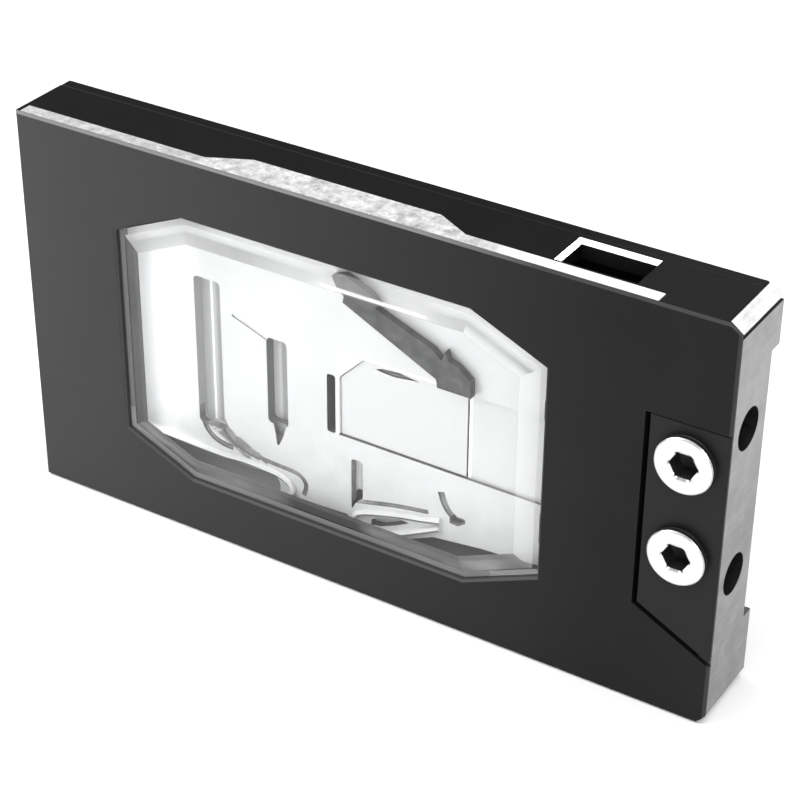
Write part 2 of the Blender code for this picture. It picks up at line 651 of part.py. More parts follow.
# ------------------------------------------------------------- thermal pads
PADS = {"thermal_pad_left": (60, 74, 44, 104),
        "thermal_pad_inner": (98, 111, 40, 96),
        "thermal_pad_upper": (114, 166, 92, 105),
        "thermal_pad_lower": (114, 166, 27, 40),
        "thermal_pad_right": (186, 200, 40, 100)}
for name, (x0, x1, z0, z1) in PADS.items():
    box(name, (x0, x1), (PLATE_Y1 + GAP, 21.5), (z0, z1), PAD, 0.3)

# --------------------------------------------------------------- rear plate
rear = box("rear_plate", (0, REAR_X1), (REAR_Y0, DEPTH), (0, HEIGHT),
           ANODISED, EDGE_CHAMFER,
           lambda m: m.y > 0.5 and (m.x < -0.5 or abs(m.z) > 0.5))
cut(rear, box("rear_lip", (0, REAR_X1), (COVER_TOP_BACK + GAP, REAR_Y0 + 1),
              (HEIGHT - 4.0, HEIGHT)), op="UNION")
for i, (x, z) in enumerate(REAR_SCREWS):
    cut(rear, rod("rear_hole_%d" % i, "y", (x, z), 1.6, 20, 32, seg=12),
        rod("rear_head_%d" % i, "y", (x, z), 3.2, DEPTH - 1.9, 32, seg=14))
    off = rod("standoff_%d" % (i + 1), "y", (x, z), 3.2, PLATE_Y1 + GAP,
              REAR_Y0 - GAP, STEEL, seg=6)
    cut(off, rod("standoff_bore_%d" % i, "y", (x, z), 1.5, 15, 30, seg=12))


def screw(name, axis, centre, head_a, head_b, tip, material, head_r=2.75,
          shank_r=1.35):
    """Head between head_a and head_b, shank on to tip, key socket in the
    head's outer end, which is at head_a."""
    lo, hi = sorted((head_a, head_b))
    body = rod(name, axis, centre, head_r, lo, hi, material, seg=16)
    way = 1 if head_b > head_a else -1
    a, b = sorted((head_b - way * 0.4, tip))
    cut(body, rod(name + "_shank", axis, centre, shank_r, a, b, seg=10),
        op="UNION")
    a, b = sorted((head_a - way * 1.0, head_a + way * 1.1))
    cut(body, rod(name + "_key", axis, centre, 1.15, a, b, seg=6))
    return body


for i, (x, z) in enumerate(STACK_SCREWS):
    screw("stack_screw_%d" % (i + 1), "y", (x, z), PLATE_Y1 - 0.1,
          PLATE_Y1 - 1.9, 2.5, STEEL)
for i, (x, z) in enumerate(REAR_SCREWS):
    screw("rear_screw_%d" % (i + 1), "y", (x, z), DEPTH - 0.1, DEPTH - 1.6,
          21.5, DARK_STEEL, shank_r=1.2)
for i, (x, z) in enumerate(TERM_SCREWS):
    screw("terminal_screw_%d" % (i + 1), "y", (x, z), TERM_BACK - 0.1,
          TERM_BACK - 1.9, 2.5, STEEL)
for i, z in enumerate(END_SCREWS):
    screw("end_screw_%d" % (i + 1), "x", (14.0, z), TERM_X0 + 0.2,
          TERM_X0 + 2.1, X1 - 1.7, STEEL)
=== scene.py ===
import json
import math

import bmesh
import bpy
from mathutils import Matrix, Vector


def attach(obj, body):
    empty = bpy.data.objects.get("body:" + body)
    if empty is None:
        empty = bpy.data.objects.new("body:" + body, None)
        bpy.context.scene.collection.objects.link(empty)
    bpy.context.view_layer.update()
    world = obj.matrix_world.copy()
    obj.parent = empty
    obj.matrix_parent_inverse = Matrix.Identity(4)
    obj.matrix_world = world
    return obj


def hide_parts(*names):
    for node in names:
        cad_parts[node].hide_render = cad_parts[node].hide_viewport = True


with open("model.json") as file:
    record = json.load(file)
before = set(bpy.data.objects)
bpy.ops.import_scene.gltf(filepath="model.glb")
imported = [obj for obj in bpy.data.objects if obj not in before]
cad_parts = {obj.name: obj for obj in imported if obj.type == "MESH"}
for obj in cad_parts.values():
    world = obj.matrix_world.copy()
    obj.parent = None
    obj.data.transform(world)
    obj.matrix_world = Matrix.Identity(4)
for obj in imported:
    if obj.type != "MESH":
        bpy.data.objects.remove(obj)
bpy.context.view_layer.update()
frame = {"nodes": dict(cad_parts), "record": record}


scene = bpy.context.scene
scene.view_settings.view_transform = "Standard"

LENGTH, HEIGHT, DEPTH = 251.5, 138.0, 28.4
PLUG_PROUD = 2.8
Y_MID = (DEPTH - PLUG_PROUD) / 2.0


def put(x, y, z):
    """Bench millimetres (x from the left end, y back from the front face, z up) to the frame's metres."""
    return Vector(((x - LENGTH / 2) * 0.001, (y - Y_MID) * 0.001, z * 0.001))


# ------------------------------------------------------------------ camera
AZ, EL, ROLL = 0.5547294, 0.5611389, 0.0078492
fwd = Vector((-math.sin(AZ) * math.cos(EL), math.cos(AZ) * math.cos(EL), -math.sin(EL)))
right = Vector((math.cos(AZ), math.sin(AZ), 0.0))
up = right.cross(fwd)
c, s = math.cos(ROLL), math.sin(ROLL)
cam_x = right * c + up * s
cam_y = up * c - right * s
cam_data = bpy.data.cameras.new("camera")
cam_data.sensor_width = 36.0
cam_data.lens = 103.015
cam_data.clip_start = 0.01
cam_data.clip_end = 50.0
camera = bpy.data.objects.new("camera", cam_data)
scene.collection.objects.link(camera)
turn = Matrix((cam_x, cam_y, -fwd)).transposed().to_4x4()
camera.matrix_world = Matrix.Translation(put(451.901, -496.596, 446.060)) @ turn
scene.camera = camera


# --------------------------------------------------------------- materials
class Nodes:
    """Short way to write a node material."""

    def __init__(self, name):
        self.mat = bpy.data.materials.new(name)
        self.mat.use_nodes = True
        self.tree = self.mat.node_tree
        self.bsdf = self.tree.nodes["Principled BSDF"]
        self.out = self.tree.nodes["Material Output"]

    def new(self, kind, **inputs):
        n = self.tree.nodes.new(kind)
        for key, value in inputs.items():
            if key.startswith("_"):
                setattr(n, key[1:], value)
        for key, value in inputs.items():
            if not key.startswith("_"):
                self.feed(n.inputs[key.replace("__", " ")], value)
        return n

    def feed(self, socket, value):
        if isinstance(value, bpy.types.NodeSocket):
            self.tree.links.new(value, socket)
        else:
            socket.default_value = value

    def set(self, **inputs):
        for key, value in inputs.items():
            self.feed(self.bsdf.inputs[key.replace("__", " ")], value)
        return self

    def place(self):
        return self.new("ShaderNodeTexCoord").outputs["Object"]

    def noise(self, scale, detail=3.0, rough=0.55, stretch=None, kind="FBM"):
        vector = self.place()
        if stretch is not None:
            vector = self.new("ShaderNodeMapping", Vector=vector, Scale=stretch).outputs["Vector"]
        return self.new("ShaderNodeTexNoise", Vector=vector, Scale=scale, Detail=detail, Roughness=rough).outputs["Fac"]

    def span(self, value, a, b, c_, d):
        return self.new("ShaderNodeMapRange", Value=value, From__Min=a, From__Max=b, To__Min=c_, To__Max=d).outputs["Result"]

    def math(self, op, a, b=0.0, c_=0.0):
        n = self.new("ShaderNodeMath", _operation=op)
        for socket, value in zip(n.inputs, (a, b, c_)):
            self.feed(socket, value)
        return n.outputs[0]

    def mix(self, fac, a, b):
        n = self.new("ShaderNodeMix", _data_type="RGBA")
        self.feed(n.inputs[0], fac)
        self.feed(n.inputs[6], a)
        self.feed(n.inputs[7], b)
        return n.outputs[2]

    def bump(self, height, strength, distance, normal=None):
        n = self.new("ShaderNodeBump", Height=height, Strength=strength, Distance=distance)
        if normal is not None:
            self.feed(n.inputs["Normal"], normal)
        return n.outputs["Normal"]

    def bench(self):
        """Sockets for x, y and z in bench millimetres."""
        xyz = self.new("ShaderNodeSeparateXYZ", Vector=self.place())
        return (self.math("MULTIPLY_ADD", xyz.outputs[0], 1000.0, LENGTH / 2),
                self.math("MULTIPLY_ADD", xyz.outputs[1], 1000.0, Y_MID),
                self.math("MULTIPLY", xyz.outputs[2], 1000.0))

    def facing(self):
        """Sockets for the x, y and z parts of the surface's own normal."""
        geo = self.new("ShaderNodeNewGeometry").outputs["True Normal"]
        return self.new("ShaderNodeSeparateXYZ", Vector=geo).outputs

    def slanted(self, low=0.12, high=0.3):
        """1 on faces that lie on no axis, such as a chamfer, and 0 on the others."""
        geo = self.new("ShaderNodeNewGeometry").outputs["True Normal"]
        size = self.new("ShaderNodeVectorMath", _operation="ABSOLUTE")
        self.feed(size.inputs[0], geo)
        xyz = self.new("ShaderNodeSeparateXYZ", Vector=size.outputs["Vector"])
        top = self.math("MAXIMUM", xyz.outputs[0], self.math("MAXIMUM", xyz.outputs[1], xyz.outputs[2]))
        return self.span(top, 1.0 - low, 1.0 - high, 0.0, 1.0)


def grey(v, a=1.0):
    return (v, v, v, a)


def anodised():
    m = Nodes("black_anodised")
    grain = m.noise(2600.0, 2.0, 0.6)
    cloud = m.noise(26.0, 4.0, 0.6)
    fine = m.noise(700.0, 3.0, 0.6)
    x, y, z = m.bench()
    nx, ny, nz = m.facing()
    # Painted light: the front face is lighter at the left end and fades towards the right, as if lit from the left.
    painted_left_light = m.math("MULTIPLY", m.span(x, 0.0, 215.0, 1.0, 0.0), m.math("LESS_THAN", ny, -0.8))
    base = m.mix(painted_left_light, m.mix(m.span(cloud, 0.3, 0.7, 0.0, 1.0), (0.0045, 0.0045, 0.0047, 1), (0.0065, 0.0065, 0.0068, 1)),
                 m.mix(m.span(cloud, 0.3, 0.7, 0.0, 1.0), (0.034, 0.034, 0.0343, 1), (0.038, 0.038, 0.0384, 1)))
    # Painted sheen: the top wall is a little paler at the right end.
    painted_sheen = m.math("MULTIPLY", m.math("GREATER_THAN", nz, 0.9), m.span(x, 185.0, 225.0, 0.0, 1.0))
    base = m.mix(painted_sheen, base, grey(0.011))
    edge = m.slanted()
    # Bare metal shows on the bright-cut chamfers: the left edge, and the rim of the power socket opening.
    left = m.math("MULTIPLY", m.math("LESS_THAN", x, 1.2), m.math("LESS_THAN", z, 136.0))
    rim = m.math("MULTIPLY", m.math("GREATER_THAN", z, 136.2),
                 m.math("MULTIPLY", m.math("GREATER_THAN", x, 189.0),
                        m.math("MULTIPLY", m.math("LESS_THAN", x, 217.6), m.math("GREATER_THAN", y, 6.0))))
    cut_edge = m.math("MULTIPLY", edge, m.math("MAXIMUM", left, rim))
    # Painted highlight: the front top edge is lighter beside the light strip.
    painted_edge_highlight = m.math("MULTIPLY", m.math("MULTIPLY", edge, m.math("GREATER_THAN", z, 136.2)),
                 m.math("MULTIPLY", m.math("LESS_THAN", y, 1.0), m.span(x, 150.0, 190.0, 1.0, 0.0)))
    # Painted light and shade on the thin wall of the window: dark on the left and lower sides, lighter on the others.
    wall = m.math("MULTIPLY", m.math("MULTIPLY", m.math("LESS_THAN", y, 5.2), m.math("GREATER_THAN", y, 0.1)),
                  m.math("MULTIPLY", m.math("MULTIPLY", m.math("GREATER_THAN", x, 37.0), m.math("LESS_THAN", x, 194.0)),
                         m.math("MULTIPLY", m.math("GREATER_THAN", z, 19.6), m.math("LESS_THAN", z, 118.2))))
    # Painted highlight: the chamfers are a lighter grey.
    base = m.mix(m.math("MULTIPLY", edge, 0.6), base, grey(0.05))
    base = m.mix(wall, base, m.mix(m.math("MAXIMUM", m.math("LESS_THAN", x, 42.0), m.math("LESS_THAN", z, 50.0)), grey(0.007), grey(0.05)))
    base = m.mix(painted_edge_highlight, base, grey(0.15))
    base = m.mix(cut_edge, base, grey(0.8))
    m.set(Base__Color=base, Metallic=m.math("MULTIPLY", cut_edge, 0.9),
          Roughness=m.math("ADD", m.span(fine, 0.3, 0.7, 0.34, 0.44), m.math("MULTIPLY", cloud, 0.06)),
          Normal=m.bump(grain, 0.25, 0.00004))
    m.bsdf.inputs["IOR"].default_value = 1.23
    return m.mat


def end_metal():
    m = Nodes("end_metal")
    grain = m.noise(2200.0, 2.0, 0.6)
    lines = m.noise(900.0, 3.0, 0.6, stretch=(1.0, 0.06, 1.0))
    cloud = m.noise(30.0, 4.0, 0.6)
    mottle = m.noise(130.0, 3.0, 0.6)
    x, y, z = m.bench()
    nx, ny, nz = m.facing()
    # Painted light: the end face is lighter towards the top.
    base = m.mix(m.span(cloud, 0.3, 0.7, 0.0, 1.0), m.mix(m.span(z, 60.0, 110.0, 0.0, 1.0), grey(0.19), grey(0.24)),
                 m.mix(m.span(z, 60.0, 110.0, 0.0, 1.0), grey(0.25), grey(0.31)))
    base = m.mix(m.span(mottle, 0.45, 0.75, 0.0, 0.35), base, grey(0.44))
    edge = m.slanted()
    # Painted highlight: the chamfers are lighter, mottled.
    base = m.mix(edge, base, m.mix(m.span(mottle, 0.4, 0.6, 0.0, 1.0), grey(0.29), grey(0.46)))
    # Painted shadow line under the upper corner, dark and not metallic.
    painted_shadow_line = m.math("MULTIPLY", m.math("COMPARE", z, HEIGHT - 3.95, 0.82), m.math("GREATER_THAN", x, LENGTH - 1.3))
    painted_shadow_line = m.math("MULTIPLY", painted_shadow_line, m.math("MAXIMUM", m.math("LESS_THAN", x, LENGTH - 0.1),
                                           m.math("GREATER_THAN", m.math("ABSOLUTE", nz), 0.5)))
    base = m.mix(painted_shadow_line, base, grey(0.03))
    # Painted shade in the bores of the ports: near black and not metallic.
    bore_shade = None
    for height in (99.6, 49.3):
        away = m.math("SQRT", m.math("ADD", m.math("POWER", m.math("SUBTRACT", y, 11.7), 2.0),
                                     m.math("POWER", m.math("SUBTRACT", z, height), 2.0)))
        here = m.math("LESS_THAN", away, 6.75)
        bore_shade = here if bore_shade is None else m.math("MAXIMUM", bore_shade, here)
    base = m.mix(bore_shade, base, grey(0.006))
    dull = m.math("MAXIMUM", bore_shade, painted_shadow_line)
    m.set(Base__Color=base, Metallic=m.math("SUBTRACT", 0.85, m.math("MULTIPLY", dull, 0.8)),
          Roughness=m.math("ADD", m.span(lines, 0.3, 0.7, 0.3, 0.42), m.math("MULTIPLY", mottle, 0.06)),
          Normal=m.bump(grain, 0.2, 0.00004))
    return m.mat


def nickel():
    m = Nodes("nickel")
    lines = m.noise(1500.0, 2.0, 0.6, stretch=(1.0, 1.0, 0.05))
    cloud = m.noise(22.0, 4.0, 0.6)
    mottle = m.noise(150.0, 3.0, 0.65)
    x, y, z = m.bench()
    nx, ny, nz = m.facing()
    base = m.mix(m.span(cloud, 0.3, 0.7, 0.0, 1.0), grey(0.60), grey(0.68))
    # Painted light: the plate is lighter towards the left end, where the window wall shades it.
    base = m.mix(m.span(x, 64.0, 44.0, 0.0, 1.0), base, grey(0.97))
    # The plating is mottled darker low down, where the grooves are.
    low_mottle = m.math("MULTIPLY", m.span(z, 62.0, 36.0, 0.0, 1.0), m.span(mottle, 0.42, 0.68, 0.0, 1.0))
    base = m.mix(m.math("MULTIPLY", low_mottle, 0.2), base, grey(0.46))
    front = m.math("LESS_THAN", y, 19.7)
    level = m.math("GREATER_THAN", m.math("ABSOLUTE", ny), 0.9)
    wall = m.math("MULTIPLY", m.span(m.math("ABSOLUTE", ny), 0.75, 0.35, 0.0, 1.0),
                  m.math("MULTIPLY", m.math("GREATER_THAN", y, 10.5), front))

    def zone(x0, x1, z0, z1):
        inside = m.math("MULTIPLY", m.math("GREATER_THAN", x, x0), m.math("LESS_THAN", x, x1))
        return m.math("MULTIPLY", inside, m.math("MULTIPLY", m.math("GREATER_THAN", z, z0), m.math("LESS_THAN", z, z1)))

    # Painted shade in the milled hollows: their floors, the deeper the darker, and their walls; the slots listed below
    # get painted floor and wall tones of their own, some lighter.
    floor_mask = m.math("MULTIPLY", m.math("MULTIPLY", level, front), m.math("GREATER_THAN", y, 13.5))
    base = m.mix(floor_mask, base, grey(0.5))
    base = m.mix(wall, base, grey(0.17))
    for box_, floor_tone, wall_tone in ((zone(59.5, 71.2, 36.0, 92.5), 0.56, 0.44),
                                        (zone(87.2, 96.4, 45.6, 78.4), 0.66, 0.18),
                                        (zone(110.0, 114.4, 50.0, 72.5), 0.15, 0.13),
                                        (zone(119.2, 124.6, 24.0, 43.4), 0.92, 0.74),
                                        (zone(98.0, 200.0, 14.0, 29.0), 0.14, 0.1),
                                        (zone(36.0, 98.0, 14.0, 29.0), 0.27, 0.2)):
        base = m.mix(m.math("MULTIPLY", box_, floor_mask), base, grey(floor_tone))
        base = m.mix(m.math("MULTIPLY", box_, wall), base, grey(wall_tone))
    # Painted light: the jet pocket's side and upper walls are painted bright and not metallic, its lower wall stays
    # dark.
    pocket = m.math("MULTIPLY", zone(114.6, 163.0, 50.8, 82.0), m.math("LESS_THAN", y, 11.9))
    pocket = m.math("MULTIPLY", pocket, m.math("LESS_THAN", nz, 0.8))
    base = m.mix(pocket, base, grey(0.96))
    # Painted shade on the right part of the floor of the slot at x 87 to 96.
    base = m.mix(m.math("MULTIPLY", m.span(x, 90.5, 91.3, 0.0, 0.8), m.math("MULTIPLY", zone(87.2, 96.4, 45.6, 78.4), floor_mask)),
                 base, grey(0.26))
    # Painted shade on the right part of the longest slot's floor, and a painted highlight line along that floor.
    base = m.mix(m.math("MULTIPLY", m.span(x, 64.4, 66.0, 0.0, 0.7), m.math("MULTIPLY", zone(59.5, 71.2, 36.0, 92.5), floor_mask)),
                 base, grey(0.22))
    line = m.math("MULTIPLY", m.math("COMPARE", x, 63.7, 0.45), m.math("MULTIPLY", zone(59.5, 71.2, 36.0, 92.5), floor_mask))
    base = m.mix(line, base, grey(0.95))
    # Painted shade in the round-bottomed grooves below the slots and on the right, mottled and less metallic.
    groove = m.math("MULTIPLY", m.math("MULTIPLY", m.span(y, 10.42, 10.75, 0.0, 1.0), m.math("LESS_THAN", y, 13.4)),
                    m.math("MAXIMUM", zone(58.0, 104.0, 20.0, 42.5),
                           m.math("MAXIMUM", zone(119.0, 164.0, 26.0, 45.0), zone(88.0, 97.0, 36.0, 46.0))))
    groove_shade = m.mix(m.span(mottle, 0.35, 0.65, 0.0, 1.0), grey(0.12), grey(0.3))
    base = m.mix(groove, base, groove_shade)
    # Blots between the two grooves under the longest slot.
    off = m.math("ABSOLUTE", m.math("ADD", z, m.math("MULTIPLY_ADD", x, 0.53, -73.4)))
    blot = m.math("MULTIPLY", m.span(off, 2.4, 3.6, 1.0, 0.0), m.math("MULTIPLY", zone(61.0, 87.0, 27.0, 43.0), m.math("LESS_THAN", y, 10.6)))
    blot = m.math("MULTIPLY", blot, m.math("MULTIPLY", m.math("GREATER_THAN", y, 10.2), m.span(m.noise(300.0, 2.0, 0.6), 0.4, 0.52, 0.0, 1.0)))
    base = m.mix(blot, base, grey(0.2))
    # Painted shade on the undersides of the raised ribs.
    under = m.math("MULTIPLY", m.math("LESS_THAN", y, 10.22), m.span(nz, -0.1, -0.4, 0.0, 1.0))
    base = m.mix(under, base, grey(0.2))
    m.set(Base__Color=base, Metallic=m.math("SUBTRACT", 0.4, m.math("MAXIMUM", m.math("MAXIMUM", m.math("MULTIPLY", groove, 0.3), m.span(x, 47.0, 58.0, 0.4, 0.0)),
                                                                 m.math("MULTIPLY", pocket, 0.4))),
          Roughness=m.span(lines, 0.3, 0.7, 0.4, 0.52), Normal=m.bump(lines, 0.08, 0.00003))
    return m.mat


def plug_nickel():
    m = Nodes("plug_nickel")
    cloud = m.noise(60.0, 4.0, 0.6)
    grain = m.noise(1800.0, 2.0, 0.6)
    nx, ny, nz = m.facing()
    x, y, z = m.bench()
    # Painted shade: the head's side wall and everything behind its face, the socket included, are near black and less
    # metallic.
    side = m.span(ny, -0.75, -0.45, 0.0, 1.0)
    inside = m.math("GREATER_THAN", y, -PLUG_PROUD + 0.6)
    dark = m.math("MAXIMUM", side, inside)
    base = m.mix(m.span(cloud, 0.3, 0.7, 0.0, 1.0), grey(0.66), grey(0.78))
    m.set(Base__Color=m.mix(dark, base, grey(0.02)), Metallic=m.math("SUBTRACT", 0.9, m.math("MULTIPLY", dark, 0.6)),
          Roughness=m.span(grain, 0.3, 0.7, 0.26, 0.36), Normal=m.bump(grain, 0.1, 0.00003))
    return m.mat


def clear():
    m = Nodes("clear_plastic")
    haze = m.noise(40.0, 3.0, 0.6)
    nx, ny, nz = m.facing()
    x, y, z = m.bench()
    # The sloping rim: a real slope bends the eye's way into the dark cover on the left and lower slopes and into light
    # on the others; here that view is painted, as dark tones on the left and lower slopes and light ones on the others.
    slope = m.span(ny, -0.998, -0.99, 0.0, 1.0)
    front = m.math("LESS_THAN", y, 5.0)
    here = m.math("MULTIPLY", slope, front)
    low_left = m.math("ADD", m.math("MULTIPLY", nx, -1.0), m.math("MULTIPLY", nz, -1.0))
    dark = m.math("MULTIPLY", here, m.span(low_left, 0.05, 0.12, 0.0, 1.0))
    light = m.math("MULTIPLY", here, m.span(low_left, -0.05, -0.12, 0.0, 1.0))
    across = m.span(y, 0.3, 2.2, 0.0, 1.0)           # 0 at the slope's inner line, 1 at the rim
    streak = m.noise(60.0, 3.0, 0.6, stretch=(0.25, 1.0, 1.0))
    patch = m.noise(34.0, 3.0, 0.6, stretch=(0.5, 1.0, 1.0))
    left = m.math("LESS_THAN", nz, -0.02)            # the lower slopes, not the left one
    middle = m.math("MULTIPLY", m.span(x, 97.0, 104.0, 0.0, 1.0), m.span(x, 127.0, 134.0, 1.0, 0.0))
    shade = m.mix(m.span(streak, 0.38, 0.62, 0.0, 1.0), grey(0.065), grey(0.165))
    shade = m.mix(left, m.mix(m.span(streak, 0.3, 0.7, 0.0, 1.0), grey(0.02), grey(0.038)), shade)
    shade = m.mix(m.math("MULTIPLY", m.span(patch, 0.5, 0.62, 0.0, 1.0), m.math("MULTIPLY", left, 0.7)), shade, grey(0.26))
    shade = m.mix(middle, shade, grey(0.004))
    # A painted dark line along the slope, next to the flat face.
    inner = m.math("MULTIPLY", m.span(across, 0.0, 0.04, 0.0, 1.0), m.span(across, 0.2, 0.3, 1.0, 0.0))
    shade = m.mix(m.math("MULTIPLY", inner, 0.6), shade, grey(0.06))
    # The narrow flat ledge round the slopes: a painted light line below and on the left.
    ledge = m.math("MULTIPLY", m.math("LESS_THAN", ny, -0.998), m.math("COMPARE", y, 1.7, 0.2))
    low_side = m.math("MULTIPLY", m.math("LESS_THAN", z, 48.0), m.math("LESS_THAN", x, 176.0))
    ledge = m.math("MULTIPLY", ledge, m.math("MAXIMUM", low_side, m.math("LESS_THAN", x, 41.5)))
    shade = m.mix(ledge, shade, m.mix(m.math("MULTIPLY", m.math("LESS_THAN", x, 41.5), m.math("GREATER_THAN", z, 40.0)),
                                      m.mix(m.span(streak, 0.35, 0.65, 0.0, 1.0), grey(0.11), grey(0.18)), grey(0.085)))
    dark = m.math("MAXIMUM", dark, ledge)
    # The upper slopes: a painted grey band of shade from the inner line to the ledge, narrower on the right-hand one.
    upper = m.math("GREATER_THAN", nz, 0.02)
    corner = m.math("MULTIPLY", upper, m.math("GREATER_THAN", nx, 0.05))
    band = m.math("MULTIPLY", m.math("MULTIPLY", upper, m.span(across, 0.42, 0.7, 1.0, 0.0)),
                  m.math("SUBTRACT", 1.0, m.math("MULTIPLY", corner, m.span(across, 0.05, 0.35, 0.8, 0.0))))
    tone = m.mix(dark, grey(0.86), shade)
    tone = m.mix(m.math("MULTIPLY", light, band), tone, m.mix(m.span(patch, 0.42, 0.58, 0.0, 1.0), grey(0.1), grey(0.2)))
    # Over the flow guide the slope is painted grey, for the guide seen through it, with a painted highlight line along
    # its inner edge.
    over = m.math("MULTIPLY", m.math("MULTIPLY", light, upper), m.math("MULTIPLY", m.span(x, 110.0, 118.0, 0.0, 1.0), m.span(x, 150.0, 158.0, 1.0, 0.0)))
    glint = m.math("MULTIPLY", m.span(across, 0.03, 0.06, 0.0, 1.0), m.span(across, 0.15, 0.22, 1.0, 0.0))
    tone = m.mix(over, tone, m.mix(glint, grey(0.45), grey(0.8)))
    m.set(Base__Color=tone, Roughness=m.span(haze, 0.3, 0.7, 0.02, 0.05))
    m.bsdf.inputs["IOR"].default_value = 1.4
    see = m.new("ShaderNodeBsdfTransparent", Color=(0.985, 0.988, 0.99, 1))
    fac = m.math("MAXIMUM", m.math("MULTIPLY", dark, m.math("MULTIPLY_ADD", middle, 0.05, 0.95)), m.math("MULTIPLY", light, 0.2))
    fac = m.math("MAXIMUM", fac, m.math("MULTIPLY", m.math("MULTIPLY", light, band), m.math("MULTIPLY", m.span(streak, 0.36, 0.62, 0.3, 0.52),
                                     m.math("SUBTRACT", 1.0, m.math("MULTIPLY", m.span(x, 84.0, 104.0, 0.0, 0.5), m.span(x, 150.0, 165.0, 1.0, 0.0))))))
    fac = m.math("MAXIMUM", fac, m.math("MULTIPLY", over, m.math("MULTIPLY_ADD", glint, 0.4, m.span(patch, 0.4, 0.6, 0.18, 0.42))))
    fac = m.math("MULTIPLY", m.math("MAXIMUM", fac, 0.04), front)
    # Light passes the slopes on its way in.
    fac = m.math("MULTIPLY", fac, m.math("SUBTRACT", 1.0, m.new("ShaderNodeLightPath").outputs["Is Shadow Ray"]))
    mix = m.new("ShaderNodeMixShader")
    m.feed(mix.inputs[0], fac)
    m.tree.links.new(see.outputs[0], mix.inputs[1])
    m.tree.links.new(m.bsdf.outputs[0], mix.inputs[2])
    m.tree.links.new(mix.outputs[0], m.out.inputs["Surface"])
    return m.mat


def acetal():
    m = Nodes("black_acetal")
    lines = m.noise(1200.0, 2.0, 0.6, stretch=(0.05, 1.0, 1.0))
    cloud = m.noise(40.0, 4.0, 0.6)
    x, y, z = m.bench()
    inside = m.math("LESS_THAN", x, 212.0)
    base = m.mix(inside, m.mix(cloud, grey(0.0075), grey(0.0105)), m.mix(m.span(m.noise(260.0, 3.0, 0.6), 0.3, 0.7, 0.0, 1.0), grey(0.045), grey(0.105)))
    m.set(Base__Color=base, Roughness=m.span(cloud, 0.3, 0.7, 0.38, 0.48),
          Normal=m.bump(lines, 0.15, 0.00004))
    m.bsdf.inputs["IOR"].default_value = 1.25
    return m.mat


def rubber():
    m = Nodes("rubber")
    n = m.noise(900.0, 3.0, 0.6)
    m.set(Base__Color=m.mix(n, grey(0.012), grey(0.03)), Roughness=m.span(n, 0.3, 0.7, 0.55, 0.75),
          Normal=m.bump(n, 0.2, 0.00005))
    return m.mat


def diffuser():
    m = Nodes("diffuser")
    n = m.noise(1100.0, 3.0, 0.6)
    mottle = m.noise(330.0, 4.0, 0.7)
    x, y, z = m.bench()
    badge = m.math("MULTIPLY", m.span(x, 66.0, 74.0, 0.0, 1.0), m.span(x, 160.0, 166.0, 1.0, 0.0))
    right = m.span(x, 166.0, 180.0, 0.0, 1.0)
    low = m.math("ADD", 0.25, m.math("MULTIPLY", right, 0.33))
    high = m.math("ADD", 0.5, m.math("MAXIMUM", m.math("MULTIPLY", badge, 0.14), m.math("MULTIPLY", right, 0.28)))
    fleck = m.span(mottle, 0.32, 0.66, 0.0, 1.0)
    value = m.math("ADD", low, m.math("MULTIPLY", fleck, m.math("SUBTRACT", high, low)))
    base = m.new("ShaderNodeCombineColor", Red=value, Green=value, Blue=value).outputs["Color"]
    m.set(Base__Color=base, Roughness=m.span(n, 0.3, 0.7, 0.4, 0.55), Normal=m.bump(n, 0.1, 0.00004))
    return m.mat


def board():
    m = Nodes("board")
    n = m.noise(400.0, 3.0, 0.6)
    m.set(Base__Color=m.mix(n, grey(0.75), grey(0.85)), Roughness=m.span(n, 0.3, 0.7, 0.4, 0.6))
    return m.mat


def steel():
    m = Nodes("steel")
    n = m.noise(1400.0, 3.0, 0.6, stretch=(1.0, 1.0, 0.08))
    x, y, z = m.bench()
    jet = m.math("MULTIPLY", m.math("LESS_THAN", y, 13.1), m.math("GREATER_THAN", y, 11.0))
    base = m.mix(jet, m.mix(n, grey(0.5), grey(0.64)), grey(0.62))
    m.set(Base__Color=base, Metallic=m.math("SUBTRACT", 1.0, m.math("MULTIPLY", jet, 0.5)),
          Roughness=m.span(n, 0.3, 0.7, 0.28, 0.42), Normal=m.bump(n, 0.1, 0.00003))
    return m.mat


def dark_steel():
    m = Nodes("dark_steel")
    n = m.noise(900.0, 3.0, 0.6)
    m.set(Base__Color=m.mix(n, grey(0.02), grey(0.04)), Metallic=0.8, Roughness=m.span(n, 0.3, 0.7, 0.35, 0.5),
          Normal=m.bump(n, 0.15, 0.00004))
    return m.mat


def thermal_pad():
    m = Nodes("thermal_pad")
    n = m.noise(500.0, 4.0, 0.6)
    m.set(Base__Color=m.mix(n, (0.42, 0.47, 0.55, 1), (0.55, 0.60, 0.68, 1)), Roughness=0.85,
          Normal=m.bump(n, 0.4, 0.0001))
    return m.mat


MATERIALS = {f.__name__: f() for f in (end_metal, nickel, plug_nickel, rubber, diffuser, board, steel,
                                      dark_steel, thermal_pad)}
MATERIALS["black_anodised"] = anodised()
MATERIALS["clear_plastic"] = clear()
MATERIALS["black_acetal"] = acetal()
slot_of = {p["node"]: p["material_slot"] for p in frame["record"]["subparts"]}
for name, obj in frame["nodes"].items():
    obj.data.materials.clear()
    obj.data.materials.append(MATERIALS[slot_of[name]])

# ---------------------------------------------------------- detailed pieces
def tri(t):
    """Triangle wave from 0 to 1 and back over one unit."""
    t = t % 1.0
    return 2.0 * t if t < 0.5 else 2.0 - 2.0 * t


